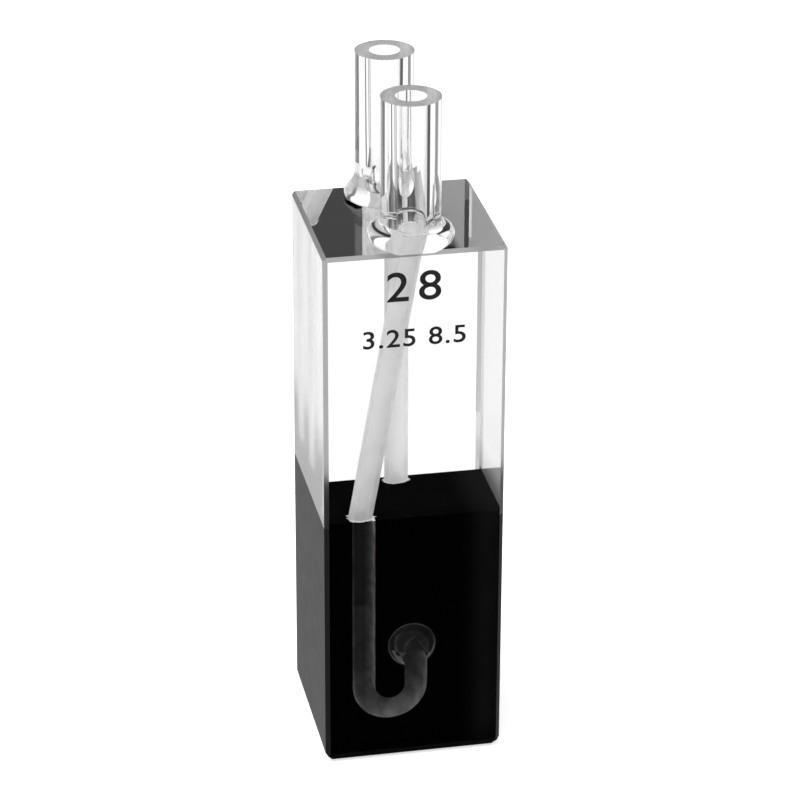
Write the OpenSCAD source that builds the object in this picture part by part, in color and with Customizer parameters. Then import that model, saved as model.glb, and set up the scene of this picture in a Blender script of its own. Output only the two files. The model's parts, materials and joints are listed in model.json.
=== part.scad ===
// Micro flow-through cuvette: a square body of fused quartz with a black lower
// half, two ground ports on top and one flow path from port to port.
// Millimetres, +Z up, origin at the middle of the body's foot, front window at -Y.

/* [Body] */
// Width and depth of the square body
body_w = 12.5; // [11.5:0.1:14]
// Height of the body without the tubes
body_h = 38.5; // [32:0.5:48]
// Height of the black block
black_h = 18.5; // [15:0.5:24]
// Thickness of the front and rear windows
window_t = 1.25; // [1:0.05:1.4]
// Ground chamfer on the upright edges
edge_chamfer = 0.3; // [0.1:0.05:0.6]
// Ground chamfer around the top face
top_chamfer = 0.25; // [0.1:0.05:0.5]
// Foot chamfer, measured inward
foot_chamfer_in = 0.5; // [0.2:0.05:0.8]
// Foot chamfer, measured up the side
foot_chamfer_up = 0.7; // [0.3:0.05:1]

/* [Light path] */
// Diameter of the chamber that the beam goes through
chamber_d = 3.25; // [2:0.05:4]
// Height of the beam above the foot
beam_h = 8.5; // [8:0.1:10]

/* [Flow path] */
// Diameter of the drilled channels
channel_d = 1.6; // [1:0.05:1.8]
// Glass left between a drilled channel and a window
channel_wall = 0.1; // [0.05:0.05:0.4]
// Left arm of the groove, from the middle
groove_left_x = 3.4; // [2.6:0.1:4]
// Right arm of the groove, from the middle
groove_right_x = 0.3; // [0:0.1:0.6]
// Lowest point of the groove above the foot
groove_foot_h = 2.8; // [2:0.1:4]

/* [Ports] */
// Outer diameter of the tubes
tube_od = 4; // [3.4:0.1:4.4]
// Inner diameter of the tubes
tube_id = 2.1; // [1.8:0.1:2.4]
// Height of the front tube above the body
front_tube_h = 10.2; // [8:0.1:14]
// Height of the rear tube above the body
rear_tube_h = 10.5; // [8:0.1:14]
// Diameter of the melted foot of a tube
foot_d = 5.9; // [5.2:0.1:6.6]
// Height of the melted foot
foot_h = 1.8; // [1.4:0.1:2.6]
// Radius of the foot's rounded rim
foot_rim_r = 0.45; // [0.2:0.05:0.6]
// Solid glass in the foot, under the tube's bore
foot_floor = 0.55; // [0.4:0.05:1.3]
// How far the foot is ground back from the body's faces
foot_set_back = 0.05; // [0.02:0.01:0.12]

/* [Hidden] */
$fn = 64;
cut = 1;                                   // how far a cutter runs past a face
half_w = body_w / 2;
inner_y = half_w - window_t;               // joint between block and window
channel_r = channel_d / 2;
port_y = inner_y - channel_wall - channel_r;   // tubes and channels share this axis
bend_r = (groove_left_x + groove_right_x) / 2;
bend_x = (groove_right_x - groove_left_x) / 2;
bend_z = groove_foot_h + channel_r + bend_r;
floor_z = body_h + foot_floor;             // where the tube's bore ends
lean_run = groove_left_x;                  // the front channel leans this far
lean_rise = floor_z - black_h;
lean = atan2(lean_run, lean_rise);
lean_len = sqrt(lean_run * lean_run + lean_rise * lean_rise);
rim_steps = 6;                             // flats around the rim of a foot

// ---------- shared shapes ----------
// The whole square body with all its ground chamfers
module body_envelope() {
  w = half_w;
  e = edge_chamfer;
  t = top_chamfer;
  i = foot_chamfer_in;
  u = foot_chamfer_up;
  side = [[-w + i, 0], [w - i, 0], [w, u], [w, body_h - t], [w - t, body_h],
          [-w + t, body_h], [-w, body_h - t], [-w, u]];
  intersection() {
    linear_extrude(height = body_h)
      polygon([[-w + e, -w], [w - e, -w], [w, -w + e], [w, w - e],
               [w - e, w], [-w + e, w], [-w, w - e], [-w, -w + e]]);
    translate([0, w, 0]) rotate([90, 0, 0])
      linear_extrude(height = body_w) polygon(side);
    translate([-w, 0, 0]) rotate([90, 0, 90])
      linear_extrude(height = body_w) polygon(side);
  }
}

// One slab of the body, between two depths and two heights
module body_slab(y0, y1, z0, z1) {
  intersection() {
    body_envelope();
    translate([-body_w, y0, z0]) cube([2 * body_w, y1 - y0, z1 - z0]);
  }
}

// Leaning channel, from the floor of the front tube's bore to the groove
module front_channel() {
  translate([0, -port_y, floor_z]) rotate([0, lean, 0])
    translate([0, 0, -lean_len - cut])
      cylinder(d = channel_d, h = lean_len + 2 * cut);
}

// Upright channel under the rear tube, down to the height z0
module rear_channel(z0) {
  translate([0, port_y, z0]) cylinder(d = channel_d, h = floor_z + cut - z0);
}

// Cross-section of the groove: round floor, open towards the front window
module groove_section() {
  circle(d = channel_d);
  translate([-channel_r, 0]) square([channel_d, channel_wall + channel_r + cut]);
}

// One straight arm of the groove at x, from z0 up to z1
module groove_arm(x, z0, z1) {
  translate([x, -port_y, z0]) rotate([0, 0, 180])
    linear_extrude(height = z1 - z0) groove_section();
}

// The groove milled in the black block's front face
module groove() {
  groove_arm(-groove_left_x, bend_z, black_h + cut);
  groove_arm(groove_right_x, bend_z, beam_h);
  translate([bend_x, -port_y, bend_z]) rotate([90, 0, 0]) rotate([0, 0, 180])
    rotate_extrude(angle = 180) translate([bend_r, 0]) groove_section();
}

// Half section of the melted foot: a rounded rim, then a slope up to the tube.
// The rim is turned in short flats between the foot's floor and the slope.
module foot_section() {
  c = [foot_d / 2 - foot_rim_r, foot_rim_r];
  p = [tube_od / 2, foot_h];
  top = atan2(p[1] - c[1], p[0] - c[0]) - acos(foot_rim_r / norm(p - c));
  rim = [for (i = [0 : rim_steps])
           let (a = -90 + (top + 90) * i / rim_steps)
           c + foot_rim_r * [cos(a), sin(a)]];
  polygon(concat([[0, 0]], rim, [p, [0, foot_h]]));
}

// One tube with its melted foot, standing on the body's top at depth y
module port_tube(y, h) {
  keep = half_w - foot_set_back;
  difference() {
    union() {
      translate([0, y, body_h]) cylinder(d = tube_od, h = h);
      intersection() {
        translate([0, y, body_h]) rotate_extrude() foot_section();
        translate([-keep, -keep, body_h]) cube([2 * keep, 2 * keep, h]);
      }
    }
    translate([0, y, floor_z]) cylinder(d = tube_id, h = h);
  }
}

// ---------- the pieces ----------
module front_window() {
  color("lightcyan", 0.5) body_slab(-half_w - cut, -inner_y, -cut, body_h + cut);
}

module rear_window() {
  color("lightcyan", 0.5) body_slab(inner_y, half_w + cut, -cut, body_h + cut);
}

module clear_block() {
  color("lightblue", 0.5) difference() {
    body_slab(-inner_y, inner_y, black_h, body_h + cut);
    front_channel();
    rear_channel(black_h - cut);
  }
}

module black_block() {
  color([0.12, 0.12, 0.13]) difference() {
    body_slab(-inner_y, inner_y, -cut, black_h);
    translate([0, inner_y + cut, beam_h]) rotate([90, 0, 0])
      cylinder(d = chamber_d, h = 2 * inner_y + 2 * cut);
    groove();
    rear_channel(beam_h);
  }
}

module front_tube() {
  color("paleturquoise", 0.6) difference() {
    port_tube(-port_y, front_tube_h);
    front_channel();
  }
}

module rear_tube() {
  color("paleturquoise", 0.6) difference() {
    port_tube(port_y, rear_tube_h);
    rear_channel(body_h - cut);
  }
}

front_window();
rear_window();
clear_block();
black_block();
front_tube();
rear_tube();
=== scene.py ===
# Micro flow-through cuvette of fused quartz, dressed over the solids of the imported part.
import json
import math

import bpy
from mathutils import Matrix, Vector, noise


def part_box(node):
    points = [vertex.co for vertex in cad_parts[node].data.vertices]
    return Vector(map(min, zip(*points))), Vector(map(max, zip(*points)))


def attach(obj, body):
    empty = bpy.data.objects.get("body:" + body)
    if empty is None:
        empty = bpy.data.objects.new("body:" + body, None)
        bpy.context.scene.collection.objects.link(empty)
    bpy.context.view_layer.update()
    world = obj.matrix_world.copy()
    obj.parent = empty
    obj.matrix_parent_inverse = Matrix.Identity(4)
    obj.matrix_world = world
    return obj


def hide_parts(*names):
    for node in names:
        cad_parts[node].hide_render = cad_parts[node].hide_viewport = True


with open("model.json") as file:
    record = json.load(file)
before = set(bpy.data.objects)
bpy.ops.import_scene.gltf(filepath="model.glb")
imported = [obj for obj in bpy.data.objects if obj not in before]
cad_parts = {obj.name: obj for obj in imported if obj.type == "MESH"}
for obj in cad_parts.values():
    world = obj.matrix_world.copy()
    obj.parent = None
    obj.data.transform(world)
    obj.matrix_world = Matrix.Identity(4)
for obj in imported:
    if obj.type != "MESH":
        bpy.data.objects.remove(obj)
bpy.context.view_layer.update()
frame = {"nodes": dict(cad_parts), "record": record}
scene = bpy.context.scene
scene.view_settings.view_transform = "Standard"


# ---------------------------------------------------------------------------
# Camera
# A long lens on a stand in front of the bench, a little to the left of the
# cell and looking down on it, so that the top and the left side show.
MM = 0.001
STAND = Vector((-41.61, -207.31, 125.48)) * MM
YAW, PITCH, ROLL = math.radians(11.40), math.radians(25.45), math.radians(0.22)

cam_data = bpy.data.cameras.new("bench_camera")
cam_data.sensor_width = 36
cam_data.lens = 152.34
cam_data.clip_start = 0.01
cam_data.clip_end = 20
camera = bpy.data.objects.new("bench_camera", cam_data)
scene.collection.objects.link(camera)
scene.camera = camera

look = Vector((math.sin(YAW) * math.cos(PITCH), math.cos(YAW) * math.cos(PITCH), -math.sin(PITCH)))
level = Vector((math.cos(YAW), -math.sin(YAW), 0))
upright = level.cross(look)
right = math.cos(ROLL) * level + math.sin(ROLL) * upright
up = math.cos(ROLL) * upright - math.sin(ROLL) * level
turn = Matrix((right, up, -look)).transposed()
camera.matrix_world = Matrix.LocRotScale(STAND, turn, None)


# ---------------------------------------------------------------------------
# Studio
# A white bench with a soft lamp above it. Glass sees a white sweep round the
# bench, broken by dark flags that draw the edges of the cell and the tubes.
# Gloss sees a room that is dark at the front.
def linear(hex_colour):
    """An sRGB hex colour as the linear RGBA that a shader wants."""
    parts = [int(hex_colour[i : i + 2], 16) / 255 for i in (1, 3, 5)]
    return (*[p / 12.92 if p <= 0.04045 else ((p + 0.055) / 1.055) ** 2.4 for p in parts], 1)


def empty_tree(owner):
    """The node tree of a material or of the world, emptied."""
    owner.use_nodes = True
    owner.node_tree.nodes.clear()
    return owner.node_tree


# The property that holds the mode of each kind of node that has one
MODES = {"Math": "operation", "MapRange": "interpolation_type", "Mix": "data_type"}


def add(kind, *inputs, out=0, **named):
    """Adds one node to the tree in hand and gives one of its outputs, or all of them for out=None.
    The inputs fill its sockets in order, after its mode if it has one, and the named ones by name.
    Each is a value or the output of another node, and None leaves a socket alone."""
    node = tree.nodes.new("ShaderNode" + kind)
    if inputs and isinstance(inputs[0], str):
        setattr(node, MODES[kind], inputs[0])
        inputs = inputs[1:]
    by_name = [(name.replace("_", " "), value) for name, value in named.items()]
    for socket, value in [*enumerate(inputs), *by_name]:
        if isinstance(value, bpy.types.NodeSocket):
            tree.links.new(value, node.inputs[socket])
        elif value is not None:
            node.inputs[socket].default_value = value
    return node.outputs[out] if len(node.outputs) and out is not None else node.outputs


def deselect():
    """Nothing selected, so that the next operator acts on one piece alone."""
    if bpy.context.mode != "OBJECT":
        bpy.ops.object.mode_set(mode="OBJECT")
    bpy.ops.object.select_all(action="DESELECT")


# Dark flags round the bench: (middle, half width, brightness), in degrees clockwise from +Y
FLAGS = [(71.5, 13.5, 0.08), (101, 7, 0.3), (-32, 7, 0.2), (-60, 4, 0.4), (-112, 14, 0.55),
         (-152, 8, 0.6), (166, 8, 0.12)]
FLAG_EDGE = 2
SWEEP = 1.12
SKY = 1.05
CEILING = 0.42
FRONT_GLOSS, BACK_GLOSS, FILL = 0.01, 1.12, 0.6
# Where one part of the room passes into the next: how far a ray points up, or to the back
HORIZON, BENCH_RIM, FRONT_TO_BACK = 0.2, (-0.9, -0.65), (-0.5, 0.1)

world = bpy.data.worlds.new("studio")
scene.world = world
tree = empty_tree(world)
to_right, to_back, to_sky = add("SeparateXYZ", add("TexCoord", out="Generated"), out=None)
azimuth = add("Math", "ARCTAN2", to_right, to_back)
sweep = 1
for middle, half, brightness in FLAGS:
    off = add("Math", "ABSOLUTE", add("Math", "SUBTRACT", azimuth, math.radians(middle)))
    inner, outer = math.radians(half - FLAG_EDGE), math.radians(half + FLAG_EDGE)
    flag = add("MapRange", "SMOOTHSTEP", off, inner, outer, brightness, 1)
    sweep = add("Math", "MULTIPLY", sweep, flag)
sweep = add("Math", "MULTIPLY", sweep, SWEEP)
overhead = add("MapRange", "SMOOTHSTEP", to_sky, 0, HORIZON)
studio = add("Mix", "FLOAT", overhead, None, sweep, SKY)

# the camera sees plain white, glass sees the sweep, gloss a room that is dark at the front and
# straight below, and matt surfaces a soft fill
room = add("MapRange", "SMOOTHSTEP", to_back, *FRONT_TO_BACK, FRONT_GLOSS, BACK_GLOSS)
above_bench = add("MapRange", "SMOOTHSTEP", to_sky, *BENCH_RIM)
room = add("Math", "MULTIPLY", room, above_bench)
room = add("Mix", "FLOAT", overhead, None, room, CEILING)
path = add("LightPath", out=None)
seen = add("Mix", "FLOAT", path["Is Glossy Ray"], None, FILL, room)
seen = add("Mix", "FLOAT", path["Is Transmission Ray"], None, seen, studio)
seen = add("Mix", "FLOAT", path["Is Camera Ray"], None, seen, 1.0)
add("OutputWorld", add("Background", Color=linear("#ffffff"), Strength=seen))

# white laminate: matt, with a glow that the camera alone sees, so that it is as white as the room
bench = bpy.data.materials.new("white_bench_laminate")
tree = empty_tree(bench)
laminate = add("BsdfDiffuse", Color=linear("#f4f4f4"))
lit = add("AddShader", laminate, add("Emission", Color=linear("#ffffff"), Strength=0.55))
add("OutputMaterial", add("MixShader", add("LightPath", out="Is Camera Ray"), laminate, lit))

deselect()
bpy.ops.mesh.primitive_plane_add(size=4, location=(0, 0, 0))
floor = bpy.context.object
floor.name = "white_bench"
floor.data.materials.append(bench)
floor.visible_transmission = False
floor.visible_glossy = False

lamp_data = bpy.data.lights.new("overhead_softbox", "AREA")
lamp_data.shape = "DISK"
lamp_data.size = 0.35
lamp_data.energy = 1.6
lamp = bpy.data.objects.new("overhead_softbox", lamp_data)
lamp.location = (-0.12, -0.05, 0.42)
lamp_aim = Vector((0, 0, 0.02))
lamp.rotation_euler = (lamp_aim - Vector(lamp.location)).to_track_quat("-Z", "Y").to_euler()
scene.collection.objects.link(lamp)
lamp.visible_transmission = False
lamp.visible_glossy = False


# ---------------------------------------------------------------------------
# Black block
# The lower half of the cell is black fused quartz, sawn, drilled and milled,
# then fused between the windows. Its two sides and its foot are ground fine.
black_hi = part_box("black_block")[1]
black_h = black_hi.z
LEFT_ARM, RIGHT_ARM = -3.4 * MM, 0.3 * MM
UPPER_ARM_END, UPPER_ARM_CURVE = 11.0 * MM, -400
SKIN = 0.004 * MM
# Round parts as (middle, radii) in mm: the groove's bend and the chamber in the block's face, then the
# marks painted in the chamber's bottom, from above: the groove's pointed end, a lighter oval, a patch of
# painted light and a dark spot in it
BEND = (-1.55, 5.45), (1.85, 1.85)
CHAMBER = (0, 8.5), (1.625, 1.625)
POINT = (1.0, -3.5), (1.1, 1.9)
SMALL_OVAL = (0.35, -3.3), (1.1, 2.85)
LIT_PATCH = (-0.55, -4.1), (0.6, 0.9)
DARK_SPOT = (-0.72, -3.6), (0.13, 0.3)
FLANK_LEAN = 0.105
RAGGED = 2 * MM
# How light each part is: a linear grey, or what it adds to the grey under it; what the bend, the walls,
# the lip, the chamber's mouth, the edges of the marks, the bright patch, the joint's top and right edge
# and the chamber's rim add is painted light
MILLED, UPPER_ARM_LESS, BEND_LIGHT, WALL_LIGHT, LIP_HIGHLIGHT = 0.0205, 0.0165, 0.07, 0.07, 0.3
CHAMBER_WALL, MOUTH_HIGHLIGHT, POINT_TONE, SMALL_OVAL_MORE, OVAL_EDGE_HIGHLIGHT, LIT_PATCH_TONE = 0.012, 0.35, 0.03, 0.06, 0.3, 0.4
LEFT_EDGE_HIGHLIGHT, RIGHT_EDGE_HIGHLIGHT = 0.15, 0.08
JOINT_LEFT, JOINT_RIGHT_LIGHT, JOINT_TOP_LIGHT, CHAMBER_RIM_HIGHLIGHT = 0.0003, 0.014, 0.0035, 0.09
SIDE_BLACK, SIDE_SHEEN, SIDE_PATCHES = "#0c0d0e", 0.185, 1.11 * MM
BLACK_IOR = 1.46

# black fused quartz: opaque, dull where it is drilled or milled, with a low sheen where it is ground, and
# with painted light and shade in its groove and chamber and on its joint
black = bpy.data.materials.new("black_fused_quartz")
tree = empty_tree(black)


def oval(a, b, middle, radii):
    """How far (a, b) is from the middle of an oval in mm: 1 on its outline."""
    across = add("Math", "DIVIDE", add("Math", "SUBTRACT", a, middle[0] * MM), radii[0] * MM)
    along = add("Math", "DIVIDE", add("Math", "SUBTRACT", b, middle[1] * MM), radii[1] * MM)
    squares = [add("Math", "POWER", part, 2) for part in (across, along)]
    return add("Math", "SQRT", add("Math", "ADD", *squares))


place = add("TexCoord", out="Object")
x, y, z = add("SeparateXYZ", place, out=None)
depth = add("Math", "ABSOLUTE", y)

# groove: dark along its middle, with painted light towards both walls, where the light comes in, stronger
# lower down and on the left arm's outer wall, and a painted highlight along its lip; the left arm is
# darker from the top down to a rounded end, and the bend has the most painted light
off_arms = [add("Math", "ABSOLUTE", add("Math", "SUBTRACT", x, arm)) for arm in (LEFT_ARM, RIGHT_ARM)]
off_arms = add("Math", "MINIMUM", *off_arms)
bend_r = BEND[1][0] * MM
off_bend = add("Math", "SUBTRACT", add("Math", "MULTIPLY", oval(x, z, *BEND), bend_r), bend_r)
off_bend = add("Math", "ABSOLUTE", off_bend)
in_bend = add("Math", "LESS_THAN", z, BEND[0][1] * MM)
off_middle = add("Mix", "FLOAT", in_bend, None, off_arms, off_bend)
wall_light_share = add("MapRange", "SMOOTHSTEP", off_middle, 0.25 * MM, 0.78 * MM)
low_down = add("MapRange", "SMOOTHSTEP", z, 16 * MM, 7 * MM, 0.6, 1)
outer_wall_more_light = add("MapRange", "SMOOTHSTEP", x, -3.95 * MM, -3.45 * MM, 2.6, 1)
wall_light_share = add("Math", "MULTIPLY", add("Math", "MULTIPLY", wall_light_share, low_down), outer_wall_more_light)
at_front = add("MapRange", "SMOOTHSTEP", depth, 3.5 * MM, 4.4 * MM)
lip_highlight_share = add("Math", "MULTIPLY", at_front, add("MapRange", "SMOOTHSTEP", x, -3.6 * MM, -2.6 * MM, 0.4, 1))
round_tip = add("Math", "POWER", add("Math", "SUBTRACT", x, LEFT_ARM), 2)
past_upper_arm = add("Math", "ADD", z, add("Math", "MULTIPLY", round_tip, UPPER_ARM_CURVE))
in_upper_arm = add("MapRange", "SMOOTHSTEP", past_upper_arm, UPPER_ARM_END - 0.15 * MM, UPPER_ARM_END + 0.15 * MM)
groove_tone = add("MapRange", "SMOOTHSTEP", z, 6.6 * MM, 3.2 * MM, 0, BEND_LIGHT)
groove_tone = add("Math", "ADD", groove_tone, MILLED)
groove_tone = add("Math", "SUBTRACT", groove_tone, add("Math", "MULTIPLY", in_upper_arm, UPPER_ARM_LESS))
groove_tone = add("Math", "ADD", groove_tone, add("Math", "MULTIPLY", wall_light_share, WALL_LIGHT))
groove_tone = add("Math", "ADD", groove_tone, add("Math", "MULTIPLY", lip_highlight_share, LIP_HIGHLIGHT))

# chamber: its wall is darker than the groove's, with a painted highlight round its mouth; the bottom shows
# the groove's pointed end, a little lighter, and a lighter oval behind it, both edged with painted
# highlights, and beside it a patch of painted light with a dark spot in it
off_axis = oval(x, z, *CHAMBER)
in_chamber = add("Math", "LESS_THAN", off_axis, 1.004)
mouth_highlight_tone = add("MapRange", "SMOOTHSTEP", depth, 4.6 * MM, 4.9 * MM, 0, MOUTH_HIGHLIGHT)
low_half = add("Math", "LESS_THAN", z, CHAMBER[0][1] * MM)

off_point = oval(x, y, *POINT)
flank = add("Math", "ADD", x, add("Math", "MULTIPLY", y, FLANK_LEAN))
left_of_flank = add("MapRange", "SMOOTHSTEP", flank, 0.80 * MM, 0.74 * MM)
inside_point = add("MapRange", "SMOOTHSTEP", off_point, 1.03, 0.97)
in_point = add("Math", "MULTIPLY", inside_point, left_of_flank)
left_highlight_mask = add("Math", "MULTIPLY", add("MapRange", "SMOOTHSTEP", off_point, 1.16, 1.04),
                add("MapRange", "SMOOTHSTEP", off_point, 0.92, 1.0))
left_highlight_mask = add("Math", "MULTIPLY", left_highlight_mask, left_of_flank)
right_highlight_mask = add("Math", "MULTIPLY", add("MapRange", "SMOOTHSTEP", flank, 0.86 * MM, 0.80 * MM),
                 add("MapRange", "SMOOTHSTEP", flank, 0.70 * MM, 0.76 * MM))
right_highlight_mask = add("Math", "MULTIPLY", right_highlight_mask, inside_point)

off_small_oval = oval(x, y, *SMALL_OVAL)
in_small_oval = add("MapRange", "SMOOTHSTEP", off_small_oval, 1.02, 0.94, 0, SMALL_OVAL_MORE)
oval_edge_light = add("Math", "MULTIPLY", add("MapRange", "SMOOTHSTEP", off_small_oval, 1.08, 1.0),
                add("MapRange", "SMOOTHSTEP", off_small_oval, 0.8, 1.0, 0, OVAL_EDGE_HIGHLIGHT))
to_left = add("MapRange", "SMOOTHSTEP", x, 0.7 * MM, -0.6 * MM, 0.15, 1)
oval_edge_light = add("Math", "MULTIPLY", oval_edge_light, to_left)
ragged = add("TexNoise", Vector=place, Scale=1 / RAGGED, Detail=2)
off_lit_patch = add("Math", "ADD", oval(x, y, *LIT_PATCH), add("Math", "MULTIPLY", ragged, 0.9))
lit_patch_light = add("MapRange", "SMOOTHSTEP", off_lit_patch, 1.5, 1.4, 0, LIT_PATCH_TONE)
dark_spot_share = add("MapRange", "SMOOTHSTEP", oval(x, y, *DARK_SPOT), 1.3, 0.9)
behind = add("Math", "MAXIMUM", add("Math", "ADD", in_small_oval, oval_edge_light), lit_patch_light)
behind = add("Math", "MULTIPLY", behind, add("Math", "SUBTRACT", 1, dark_spot_share))
bottom = add("Mix", "FLOAT", in_point, None, behind, POINT_TONE)
edge_highlights = add("Math", "ADD", add("Math", "MULTIPLY", left_highlight_mask, LEFT_EDGE_HIGHLIGHT),
            add("Math", "MULTIPLY", right_highlight_mask, RIGHT_EDGE_HIGHLIGHT))
bottom = add("Math", "ADD", bottom, edge_highlights)
chamber_tone = add("Math", "ADD", add("Math", "ADD", mouth_highlight_tone, CHAMBER_WALL),
                   add("Math", "MULTIPLY", low_half, bottom))

# both are mottled: the tools smear the wall in patches
SMEAR, CUT_SHEEN = 0.91 * MM, 0.06
inside_tone = add("Mix", "FLOAT", in_chamber, None, groove_tone, chamber_tone)
smear = add("TexNoise", Vector=place, Scale=1 / SMEAR, Detail=4)
smear = add("MapRange", "SMOOTHSTEP", smear, 0.3, 0.7, 0.68, 1.32)
cut_inside = add("BsdfPrincipled", Base_Color=add("Math", "MULTIPLY", inside_tone, smear), Roughness=0.5,
                 IOR=BLACK_IOR, Specular_IOR_Level=CUT_SHEEN)

# joint: fused to the clear glass, it only swallows light; its top and its right edge get a little painted
# light, and round the chamber on the front it has a painted highlight
on_top = add("Math", "GREATER_THAN", z, black_h - SKIN)
on_joint = add("Math", "MAXIMUM", add("Math", "GREATER_THAN", depth, black_hi.y - SKIN), on_top)
rim_highlight_tone = add("MapRange", "SMOOTHSTEP", off_axis, 1.06, 1.02, 0, CHAMBER_RIM_HIGHLIGHT)
rim_highlight_tone = add("Math", "MULTIPLY", add("Math", "LESS_THAN", y, 0), rim_highlight_tone)
joint_tone = add("MapRange", "SMOOTHSTEP", x, 3.2 * MM, 6.2 * MM, JOINT_LEFT, JOINT_RIGHT_LIGHT)
joint_tone = add("Math", "ADD", add("Math", "MULTIPLY", on_top, JOINT_TOP_LIGHT), joint_tone)
joint = add("BsdfDiffuse", Color=add("Math", "ADD", joint_tone, rim_highlight_tone))

# sides and foot: ground fine, with a low sheen that changes a little from patch to patch
FOOT_TOP = 0.72 * MM
SIDE_SKIN = 0.05 * MM
on_foot = add("Math", "MULTIPLY", add("Math", "LESS_THAN", z, FOOT_TOP),
              add("Math", "LESS_THAN", depth, black_hi.y - SKIN))
on_side = add("Math", "GREATER_THAN", add("Math", "ABSOLUTE", x), black_hi.x - SIDE_SKIN)
side_rough = add("TexNoise", Vector=place, Scale=1 / SIDE_PATCHES, Detail=3)
side_rough = add("MapRange", "SMOOTHSTEP", side_rough, 0.3, 0.7, 0.485, 0.515)
ground_black = add("BsdfPrincipled", Base_Color=linear(SIDE_BLACK), Roughness=side_rough, IOR=BLACK_IOR,
                   Specular_IOR_Level=SIDE_SHEEN)
covered = add("MixShader", on_joint, cut_inside, joint)
add("OutputMaterial", add("MixShader", add("Math", "MAXIMUM", on_side, on_foot), covered, ground_black))

black_node = frame["nodes"]["black_block"]
black_node.data.materials.clear()
black_node.data.materials.append(black)


# ---------------------------------------------------------------------------
# Fused quartz body
# Two windows and a clear block fused round the black block, with two ports melted
# on. Windows, top and ports are polished, the left side to a satin; the right side
# and the tube ends are ground, the edges are lapped and the channels are drilled.
half_w, body_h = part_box("front_window")[1].x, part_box("front_window")[1].z
QUARTZ_IOR = 1.458
# chamfers on the upright edges, round the top and on the foot; the back right one is a little askew,
# and stays ground up to MATT_TO
EDGE, TOP_EDGE, FOOT_IN, FOOT_UP = 0.3 * MM, 0.25 * MM, 0.5 * MM, 0.7 * MM
BACK_RIGHT_SKEW = 0.885
MATT_TO = 22.6 * MM
LAP = 0.005 * MM
SQUARE_ON = 0.99
CHANNEL_R, BORE_R, TUBE_R = 0.84 * MM, 1.05 * MM, 2.04 * MM
LEAN_X = LEFT_ARM
BORE_FLOOR = 39.05 * MM
FOOT_SET_BACK = 0.1 * MM
PORT_X = {"front": 0.03 * MM, "rear": -0.14 * MM}
TOPS = {side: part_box(side + "_tube")[1].z for side in PORT_X}
mounts = {mount["name"]: mount for mount in frame["record"]["mounts"]}
PORT_Y = {side: mounts[side + "_port"]["pos_m"][1] for side in PORT_X}
# white, for the painted glow of the ground and the chipped quartz
GLOW = linear("#ffffff")
# sides of a turned solid, and the turn past which an edge stays crisp
ROUND, SHARP = 96, math.radians(28)

# polished fused quartz: water clear with faint upright striae, only its edges and bends show
STRIAE_WIDE, STRIAE_LONG = 1.111 * MM, 16.67 * MM
clear = bpy.data.materials.new("polished_fused_quartz")
tree = empty_tree(clear)
striae = (1 / STRIAE_WIDE, 1 / STRIAE_WIDE, 1 / STRIAE_LONG)
striae = add("Mapping", Vector=add("TexCoord", out="Object"), Scale=striae)
striae = add("TexNoise", Vector=striae, Scale=1, Detail=2)
striae = add("MapRange", "LINEAR", striae, 0.3, 0.7, 0.97, 1.0)
add("OutputMaterial", add("BsdfPrincipled", Base_Color=striae, Roughness=0.0, IOR=QUARTZ_IOR,
                          Transmission_Weight=1.0))

# ground fused quartz: sawn and left matt, it scatters light and turns white, with a painted glow; beside
# the black block it is darker with painted shade, and the wheel's grain shows on the tube ends, drawn
# coarser than it is, so that it shows
WHEEL_GRAIN = 0.14 * MM
SHADE_FROM, SHADE_TO, SHADE_DEEPEST, BEVEL_SHADE_FLOOR = 18.0 * MM, 21.3 * MM, 0.15, 0.8
FACE_SKIN = 0.01 * MM
ground = bpy.data.materials.new("ground_fused_quartz")
tree = empty_tree(ground)
place = add("TexCoord", out="Object")
x, y, z = add("SeparateXYZ", place, out=None)
# painted shade: darker towards the black block, but not below a floor on the faces other than the right
# side
grain_and_shade = add("MapRange", "SMOOTHSTEP", z, SHADE_FROM, SHADE_TO, SHADE_DEEPEST, 1)
bevelled = add("Math", "MULTIPLY", add("Math", "LESS_THAN", x, half_w - FACE_SKIN), BEVEL_SHADE_FLOOR)
grain_and_shade = add("Math", "MAXIMUM", grain_and_shade, bevelled)
grain = add("TexNoise", Vector=place, Scale=1 / WHEEL_GRAIN, Detail=2)
grain = add("MapRange", "SMOOTHSTEP", grain, 0.35, 0.65, 0.7, 1.0)
grain = add("Math", "MULTIPLY", add("Math", "GREATER_THAN", z, body_h), add("Math", "SUBTRACT", grain, 1))
grain_and_shade = add("Math", "MULTIPLY", grain_and_shade, add("Math", "ADD", 1, grain))
# with a painted glow
rough = add("BsdfPrincipled", Base_Color=grain_and_shade, Roughness=0.35, IOR=QUARTZ_IOR, Transmission_Weight=0.75,
            Emission_Color=GLOW, Emission_Strength=0.15)
matt = add("MixShader", 0.5, rough, add("BsdfTranslucent", Color=grain_and_shade))
sheen = add("BsdfPrincipled", Base_Color=linear("#ffffff"), Roughness=0.05, IOR=QUARTZ_IOR,
            Transmission_Weight=1.0)
grazing = add("MapRange", "SMOOTHSTEP", add("LayerWeight", out="Facing"), 0.6, 1.05, 0, 0.8)
add("OutputMaterial", add("MixShader", grazing, matt, sheen))

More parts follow.
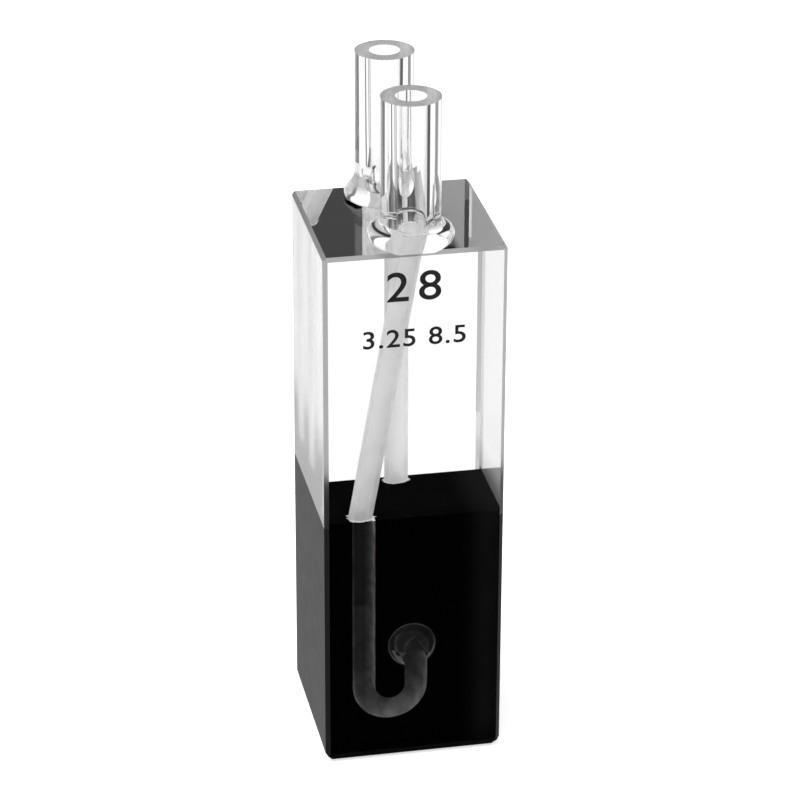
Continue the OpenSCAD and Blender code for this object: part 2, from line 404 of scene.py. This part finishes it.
# drilled channel: core-drilled with diamond, so its wall is coarse and white, with painted light on one
# side of each channel and a painted glow that is stronger low down in the rear one
DRILL_MARKS = 1.43 * MM
FRONT_SIDE_LIGHT, REAR_SIDE_LIGHT = -0.11, 0.14
LOW_GLOW, LOW_GLOW_TO = 1.1, 30 * MM
drilled = bpy.data.materials.new("diamond_drilled_quartz")
tree = empty_tree(drilled)
place = add("TexCoord", out="Object")
x, y, z = add("SeparateXYZ", place, out=None)
coarse = add("TexNoise", Vector=place, Scale=1 / DRILL_MARKS, Detail=3)
white = add("MapRange", "LINEAR", coarse, 0.3, 0.7, 0.85, 0.97)
in_front = add("Math", "LESS_THAN", y, 0)
lean_x = add("Math", "SUBTRACT", BORE_FLOOR, z)
lean_x = add("Math", "MULTIPLY", lean_x, LEAN_X / (BORE_FLOOR - black_h))
lean_x = add("Math", "MULTIPLY", lean_x, in_front)
off_middle = add("Math", "DIVIDE", add("Math", "SUBTRACT", x, lean_x), CHANNEL_R)
# painted light: lighter on the left of the front channel and on the right of the rear one
side_light_share = add("Math", "MULTIPLY", in_front, FRONT_SIDE_LIGHT - REAR_SIDE_LIGHT)
side_light_share = add("Math", "ADD", side_light_share, REAR_SIDE_LIGHT)
side_light_share = add("Math", "MULTIPLY", off_middle, side_light_share)
white = add("Math", "MULTIPLY", white, add("Math", "ADD", 1, side_light_share))
# the painted glow is stronger low down in the rear channel
low_rear = add("MapRange", "SMOOTHSTEP", z, black_h, LOW_GLOW_TO, LOW_GLOW, 0)
low_rear = add("Math", "MULTIPLY", add("Math", "SUBTRACT", 1, in_front), low_rear)
lit = add("Math", "MULTIPLY", white, add("Math", "ADD", 1, low_rear))
wall = add("BsdfPrincipled", Base_Color=white, Roughness=0.4, IOR=QUARTZ_IOR, Transmission_Weight=0.45,
           Emission_Color=lit, Emission_Strength=0.18)
add("OutputMaterial", add("MixShader", 0.45, wall, add("BsdfTranslucent", Color=white)))

# lapped edge: the chamfers are lapped with fine grit and turn light grey, or black over the black block
lapped = bpy.data.materials.new("lapped_quartz_edge")
tree = empty_tree(lapped)
z = add("SeparateXYZ", add("TexCoord", out="Object"), out="Z")
over_black = add("BsdfPrincipled", Base_Color=linear(SIDE_BLACK), Roughness=0.5, IOR=BLACK_IOR,
                 Specular_IOR_Level=SIDE_SHEEN)
fine = add("BsdfPrincipled", Base_Color=linear("#707070"), Roughness=0.35, IOR=QUARTZ_IOR,
           Transmission_Weight=1.0)
add("OutputMaterial", add("MixShader", add("Math", "GREATER_THAN", z, black_h), over_black, fine))

# flame haze: where the rear tube is melted on, silica smoke settles on the drawn glass, and it is
# wiped off in one place
SMOKE, WIPED_X = 2.5 * MM, -1.25 * MM
HAZE_FROM, HAZE_TO = body_h + 0.7 * MM, body_h + 1.3 * MM
hazed = bpy.data.materials.new("flame_hazed_quartz")
tree = empty_tree(hazed)
place = add("TexCoord", out="Object")
x, y, z = add("SeparateXYZ", place, out=None)
smoke = add("TexNoise", Vector=place, Scale=1 / SMOKE, Detail=2)
smoke = add("MapRange", "LINEAR", smoke, 0.3, 0.7, 0.86, 0.94)
thick = add("MapRange", "SMOOTHSTEP", z, HAZE_FROM, HAZE_TO, 0, 0.8)
wiped = add("Math", "ABSOLUTE", add("Math", "SUBTRACT", x, WIPED_X))
thick = add("Math", "MULTIPLY", thick, add("MapRange", "SMOOTHSTEP", wiped, 0.3 * MM, 0.5 * MM))
clean = add("BsdfPrincipled", Base_Color=smoke, Roughness=0.0, IOR=QUARTZ_IOR, Transmission_Weight=1.0)
add("OutputMaterial", add("MixShader", thick, clean, add("BsdfTranslucent", Color=smoke)))

# satin side: the left side is polished only to a satin, a little coarser near the black block, and
# blurs what is behind it
POLISH_MARKS = 2.5 * MM
satin = bpy.data.materials.new("satin_fused_quartz")
tree = empty_tree(satin)
place = add("TexCoord", out="Object")
film = add("TexNoise", Vector=place, Scale=1 / POLISH_MARKS, Detail=2)
film = add("MapRange", "LINEAR", film, 0.3, 0.7, 0.82, 0.86)
z = add("SeparateXYZ", place, out="Z")
coarse = add("MapRange", "SMOOTHSTEP", z, 21 * MM, 26 * MM, 0.27, 0.2)
blurred = add("BsdfPrincipled", Base_Color=film, Roughness=coarse, IOR=QUARTZ_IOR, Transmission_Weight=1.0)
add("OutputMaterial", add("MixShader", 0.16, blurred, add("BsdfDiffuse", Color=linear("#f0f0f0"))))

FINISHES = clear, ground, drilled, lapped, hazed, satin
POLISHED, GROUND, DRILLED, LAPPED, HAZED, SATIN = range(len(FINISHES))


def finish_slots(piece, slot):
    """Gives a piece all the finishes of the quartz, and its faces one of them."""
    for finish in FINISHES:
        piece.data.materials.append(finish)
    for face in piece.data.polygons:
        face.material_index = slot


def saw(point, normal, waste=True):
    """Cuts the mesh in edit mode by a plane; the waste beyond it falls off and the cut is closed."""
    bpy.ops.mesh.select_all(action="SELECT")
    bpy.ops.mesh.bisect(plane_co=point, plane_no=normal, use_fill=waste, clear_outer=waste, threshold=1e-9)


def close_up():
    """Leaves edit mode with the doubles merged and every face pointing outwards."""
    bpy.ops.mesh.select_all(action="SELECT")
    bpy.ops.mesh.remove_doubles(threshold=0.0001 * MM)
    bpy.ops.mesh.normals_make_consistent(inside=False)
    bpy.ops.object.mode_set(mode="OBJECT")


def block(middle, size):
    """A cube drawn out to a block."""
    deselect()
    bpy.ops.mesh.primitive_cube_add(size=1, location=middle, scale=size)
    bpy.ops.object.transform_apply(location=True, scale=True)
    return bpy.context.object


def turned(name, x, y, profile, slot):
    """A turned solid round a vertical axis: a disc that is drawn up ring by ring through (radius, z)."""
    deselect()
    r, z = profile[0]
    bpy.ops.mesh.primitive_circle_add(vertices=ROUND, radius=r, fill_type="NGON", location=(x, y, z))
    piece = bpy.context.object
    piece.name = name
    bpy.ops.object.transform_apply(location=True)
    bpy.ops.object.mode_set(mode="EDIT")
    bpy.ops.mesh.select_all(action="SELECT")
    for (r0, z0), (r1, z1) in zip(profile, profile[1:]):
        bpy.ops.mesh.extrude_region_move(TRANSFORM_OT_translate={"value": (0, 0, z1 - z0)})
        bpy.ops.transform.resize(value=(r1 / r0, r1 / r0, 1), center_override=(x, y, z1))
    bpy.ops.mesh.select_all(action="SELECT")
    bpy.ops.mesh.normals_make_consistent(inside=False)
    bpy.ops.object.mode_set(mode="OBJECT")
    finish_slots(piece, slot)
    return piece


def combine(piece, other, how):
    """Joins another solid to a piece, or cuts it out, and drops the other."""
    deselect()
    bpy.context.view_layer.objects.active = piece
    piece.select_set(True)
    cut = piece.modifiers.new(how.lower(), "BOOLEAN")
    cut.operation = how
    cut.solver = "EXACT"
    cut.object = other
    bpy.ops.object.modifier_apply(modifier=cut.name)
    bpy.data.objects.remove(other)


# the square body, with its upright edges, top edges and foot edges chamfered
cell = block((0, 0, body_h / 2), (2 * half_w, 2 * half_w, body_h))
cell.name = "fused_quartz_body"
bpy.ops.object.mode_set(mode="EDIT")
for side_x, side_y, skew in ((1, 1, BACK_RIGHT_SKEW), (1, -1, 1), (-1, 1, 1), (-1, -1, 1)):
    saw((side_x * half_w, side_y * (half_w - EDGE), 0), (side_x, side_y * skew, 0))
for side_x, side_y in ((1, 0), (-1, 0), (0, 1), (0, -1)):
    saw((side_x * half_w, side_y * half_w, body_h - TOP_EDGE), (side_x, side_y, 1))
    saw((side_x * half_w, side_y * half_w, FOOT_UP), (side_x * FOOT_UP, side_y * FOOT_UP, -FOOT_IN))
saw((0, 0, black_h), (0, 0, 1), waste=False)
saw((0, 0, MATT_TO), (0, 0, 1), waste=False)
close_up()
finish_slots(cell, POLISHED)
for face in cell.data.polygons:
    if abs(face.normal.x) > SQUARE_ON and face.center.z < black_h:
        face.material_index = LAPPED
    elif face.normal.x > SQUARE_ON:
        face.material_index = GROUND
    elif face.normal.x < -SQUARE_ON:
        face.material_index = SATIN
    elif face.normal.x > 0.5 and face.normal.y > 0.5:
        face.material_index = GROUND if face.center.z < MATT_TO else POLISHED
    elif max(abs(c) for c in face.normal) < SQUARE_ON:
        face.material_index = LAPPED

# the slot that the black block fills; the glass laps over its faces, so that the joint has no gap
slot_h = black_h - LAP
slot_block = block((0, 0, slot_h / 2 - MM), (4 * half_w, 2 * (black_hi.y - LAP), slot_h + 2 * MM))
finish_slots(slot_block, POLISHED)
combine(cell, slot_block, "DIFFERENCE")

# ports: the front one's foot is a full bead, pushed down while soft, with a round shoulder and a tight
# waist; the rear one's is drawn out, a small rim and then a hollow slope up to the tube. Each gives its
# rim's middle, its radius, the arc it is turned through, how far its shoulder is pressed flat, the
# height of its waist and how hollow the slope is, in mm and degrees.
FEET = {"front": ((2.15, 0.68), 0.8, range(-58, 77, 5), 0.66, 1.55, 2.6),
        "rear": ((2.37, 0.36), 0.4, range(-60, 41, 5), 1, 1.85, 2.0)}
SPIGOT_R, SPIGOT_H = 2.2, 0.3
SLOPE_RINGS = 30
WHEEL = 4 * MM
GROUND_END = 0.01 * MM

for side, (middle, bulge, arc, flat, waist, hollow) in FEET.items():
    rim = []
    for degrees in arc:
        a = math.radians(degrees)
        rise = bulge * math.sin(a) * (flat if degrees > 0 else 1)
        rim.append((middle[0] + bulge * math.cos(a), middle[1] + rise))
    rim_r, rim_z = rim[-1]
    tube_r = TUBE_R / MM
    slope = [(tube_r + (rim_r - tube_r) * (1 - i / SLOPE_RINGS) ** hollow,
              rim_z + (waist - rim_z) * i / SLOPE_RINGS) for i in range(1, SLOPE_RINGS + 1)]
    profile = [(r * MM, body_h + z * MM) for r, z in [(SPIGOT_R, -SPIGOT_H), *rim, *slope]]
    port = turned(side + "_port", PORT_X[side], PORT_Y[side], [*profile, (TUBE_R, TOPS[side])], POLISHED)
    # a wheel grinds the foot back from the body's face
    outward = math.copysign(1, PORT_Y[side])
    wheel_y = outward * (half_w - FOOT_SET_BACK + WHEEL / 2)
    wheel = block((0, wheel_y, body_h + MM), (2 * WHEEL, WHEEL, WHEEL))
    finish_slots(wheel, POLISHED)
    combine(port, wheel, "DIFFERENCE")
    for face in port.data.polygons:
        if face.center.z > TOPS[side] - GROUND_END:
            face.material_index = GROUND
        elif side == "rear" and body_h + rim_z * MM < face.center.z < body_h + waist * MM:
            face.material_index = HAZED
    combine(cell, port, "UNION")

# bores: each ends in a shallow bowl, the rear one lower
REAR_BORE_DOWN = 0.45 * MM
BOWL = 0.35
# channels: drilled from the bore down to the black block, with a slightly uneven wall; the front one
# leans, runs a little past the groove's arm and flares in the foot
LEAN_PAST = 0.14 * MM
OVERRUN = MM
DRILL_ROUND, RINGS = 48, 40
BUMPS, BUMPS_DRAWN_OUT, UNEVEN = 0.8 * MM, 0.7, 0.015
FLARE, FLARE_FROM, FLARE_OVER = 0.16, 1.1 * MM, 0.5 * MM

for side, y in PORT_Y.items():
    bore_z = BORE_FLOOR if side == "front" else BORE_FLOOR - REAR_BORE_DOWN
    bowl = [(BORE_R * math.cos(math.radians(a)), bore_z + BOWL * BORE_R * (1 + math.sin(math.radians(a))))
            for a in range(-75, 1, 15)]
    bore = turned(side + "_bore", PORT_X[side], y, [*bowl, (BORE_R, TOPS[side] + MM)], POLISHED)
    combine(cell, bore, "DIFFERENCE")

    run = LEAN_X - LEAN_PAST if side == "front" else 0
    rise = BORE_FLOOR - black_h
    lean = math.atan2(-run, rise)
    length = math.hypot(run, rise)
    deselect()
    bpy.ops.mesh.primitive_cylinder_add(vertices=DRILL_ROUND, radius=CHANNEL_R, depth=length + 2 * OVERRUN,
                                        location=(0, 0, -length / 2))
    drill = bpy.context.object
    bpy.ops.object.transform_apply(location=True)
    bpy.ops.object.mode_set(mode="EDIT")
    for i in range(1, RINGS):
        saw((0, 0, OVERRUN - (length + 2 * OVERRUN) * i / RINGS), (0, 0, 1), waste=False)
    close_up()
    own_bumps = Vector((3 * y / MM, 0, 0))
    for v in drill.data.vertices:
        bump = noise.noise(Vector((v.co.x, v.co.y, v.co.z * BUMPS_DRAWN_OUT)) / BUMPS + own_bumps)
        flare = FLARE * min(max((v.co.z + FLARE_FROM) / FLARE_OVER, 0), 1) if side == "front" else 0
        v.co.x *= 1 + UNEVEN * bump + flare
        v.co.y *= 1 + UNEVEN * bump + flare
    drill.data.transform(Matrix.Translation((0, y, BORE_FLOOR)) @ Matrix.Rotation(lean, 4, "Y"))
    drill.data.update()
    finish_slots(drill, DRILLED)
    combine(cell, drill, "DIFFERENCE")

deselect()
cell.select_set(True)
bpy.context.view_layer.objects.active = cell
bpy.ops.object.shade_smooth_by_angle(angle=SHARP)
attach(cell, "root")
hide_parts("front_window", "rear_window", "clear_block", "front_tube", "rear_tube")


# ---------------------------------------------------------------------------
# Chipped rims
# Where a channel leaves the clear quartz the drill has chipped its rim. The
# chips are caught in the fused joint as a thin, ragged, white ring.
RIM_R, RIM_LIFT, RIM_WAVE = 0.03 * MM, 0.01 * MM, 0.02 * MM
RIM_LEFT = 0.1 * MM
CHIP_REACH = {"front": 0.3 * MM, "rear": 0.2 * MM}
CHIPS, SPLINTERS, WAVES = 2.1, 9, 14

# chipped quartz: small broken facets that catch the light, so they look white and sparkle, with a painted
# glow
FACET = 0.14 * MM
chipped = bpy.data.materials.new("chipped_quartz")
tree = empty_tree(chipped)
facet = add("TexVoronoi", Vector=add("TexCoord", out="Object"), Scale=1 / FACET)
facet = add("MapRange", "LINEAR", facet, 0.0, 0.8, 0.75, 0.98)
face_on = add("BsdfPrincipled", Base_Color=facet, Roughness=0.7, Emission_Color=GLOW,
              Emission_Strength=0.25)
add("OutputMaterial", add("MixShader", 0.4, face_on, add("BsdfTranslucent", Color=facet)))

for side, y in PORT_Y.items():
    x = LEAN_X - RIM_LEFT if side == "front" else 0
    deselect()
    bpy.ops.mesh.primitive_torus_add(major_radius=CHANNEL_R, minor_radius=RIM_R, major_segments=120,
                                     minor_segments=6, location=(x, y, black_h))
    rim = bpy.context.object
    rim.name = side + "_chipped_rim"
    bpy.ops.object.transform_apply(location=True)
    for v in rim.data.vertices:
        out = Vector((v.co.x - x, v.co.y - y, 0))
        way = out.normalized()
        ragged = noise.noise(way * CHIPS + Vector((y / MM, 0, 3))) + 0.6 * noise.noise(way * SPLINTERS)
        if out.length > CHANNEL_R:
            v.co += way * max(0.0, 0.25 + ragged) * CHIP_REACH[side]
        v.co.z += RIM_WAVE * noise.noise(way * WAVES) + RIM_LIFT
    rim.data.materials.append(chipped)
    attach(rim, "root")


# ---------------------------------------------------------------------------
# Printed numbers
# Black ceramic ink, fired on the front window: a large running number, and below
# it, smaller, the chamber's width and the beam's height in millimetres.
INK_DEPTH = 0.004 * MM
INK_SPREAD = 0.02 * MM
WIDE = 1.12
INK_GRAIN = 0.11 * MM
# each line: its name and numbers, its middle (x, z) and height in mm, and how widely it is spaced
LINES = [("large", "28", (-0.15, 36.0), 3.0, 1.3), ("small", "3.25 8.5", (-0.1, 32.35), 1.8, 1.1)]

# fired ink: matt black, with a fine grain, drawn coarser than it is, so that it shows
ink = bpy.data.materials.new("fired_black_ink")
tree = empty_tree(ink)
grain = add("TexNoise", Vector=add("TexCoord", out="Object"), Scale=1 / INK_GRAIN, Detail=2)
grain = add("MapRange", "LINEAR", grain, 0.3, 0.7, 0.004, 0.02)
add("OutputMaterial", add("BsdfPrincipled", Base_Color=grain, Roughness=0.6))

for name, numbers, (x, z), size, spacing in LINES:
    deselect()
    bpy.ops.object.text_add(location=(0, 0, 0))
    line = bpy.context.object
    line.name = "numbers_" + name
    line.data.body = numbers
    line.data.align_x = "CENTER"
    line.data.align_y = "CENTER"
    line.data.size = size * MM
    line.data.space_character = spacing
    line.data.offset = INK_SPREAD
    bpy.ops.object.convert(target="MESH")
    line = bpy.context.object
    line.data.transform(Matrix.Translation((x * MM, -half_w + INK_DEPTH, z * MM))
                        @ Matrix.Rotation(math.pi / 2, 4, "X") @ Matrix.Scale(WIDE, 4, (1, 0, 0)))
    line.data.materials.clear()
    line.data.materials.append(ink)
    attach(line, "root")
